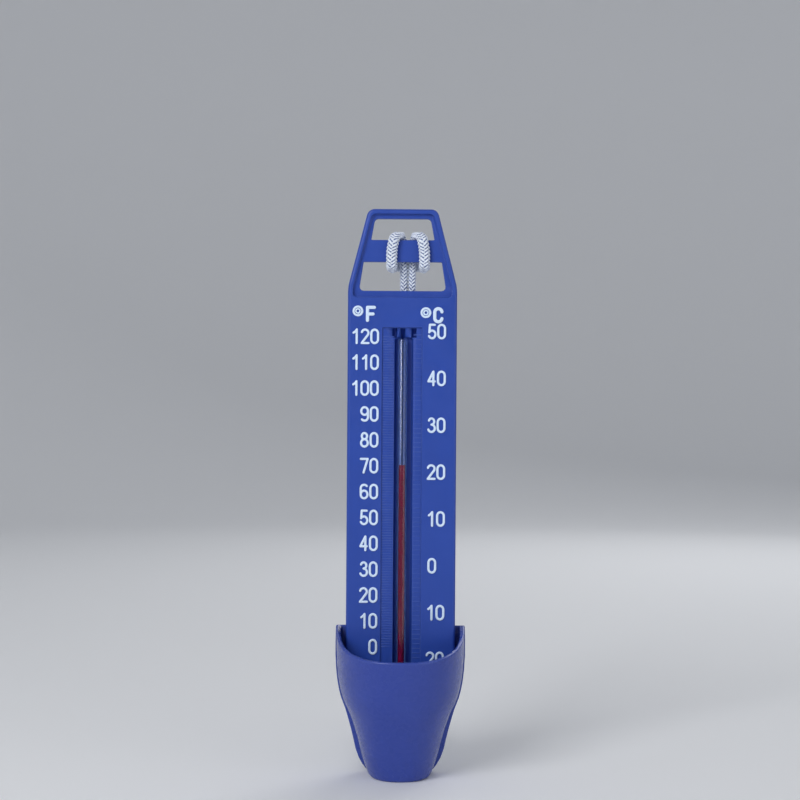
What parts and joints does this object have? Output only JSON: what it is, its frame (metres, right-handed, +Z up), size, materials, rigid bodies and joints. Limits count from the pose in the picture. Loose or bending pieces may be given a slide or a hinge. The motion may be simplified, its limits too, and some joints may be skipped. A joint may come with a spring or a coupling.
{
  "type": "floating pool thermometer",
  "caption": "Pool thermometer: a flat scale plate with a spirit tube, a scoop that keeps water round the bulb, and a cord looped on the head.",
  "frame": {"origin": "middle of the footprint of everything but the cord, on the surface that the scoop's flat bottom stands on", "axes": "+Z up the scale, the dial side faces -Y, +X towards the Celsius numerals"},
  "size_m": [0.0392, 0.0974, 0.17],
  "materials": {
    "blue_plastic": "satin moulded blue, lighter along the edges",
    "glass": "clear drawn glass",
    "red_spirit": "dyed crimson liquid",
    "soft_rubber": "matte grey",
    "white_cord": "braided white polyamide",
    "tie_band": "matte translucent band"
  },
  "bodies": {
    "root": {"scale_plate": "blue_plastic", "scoop_cup": "blue_plastic", "glass_tube": "glass", "bulb_spirit": "red_spirit", "tube_bush": "soft_rubber", "cord_left": "white_cord", "cord_right": "white_cord", "cord_hank": "white_cord", "hank_tie": "tie_band", "cord_knot": "white_cord"},
    "spirit": {"spirit_column": "red_spirit"}
  },
  "joints": [
    {"name": "spirit_rise", "type": "slide", "parent": "root", "child": "spirit", "axis": [0, 0, 1], "range_m": [-0.0582, 0.0355], "deforming": ["spirit_column"]}
  ]
}
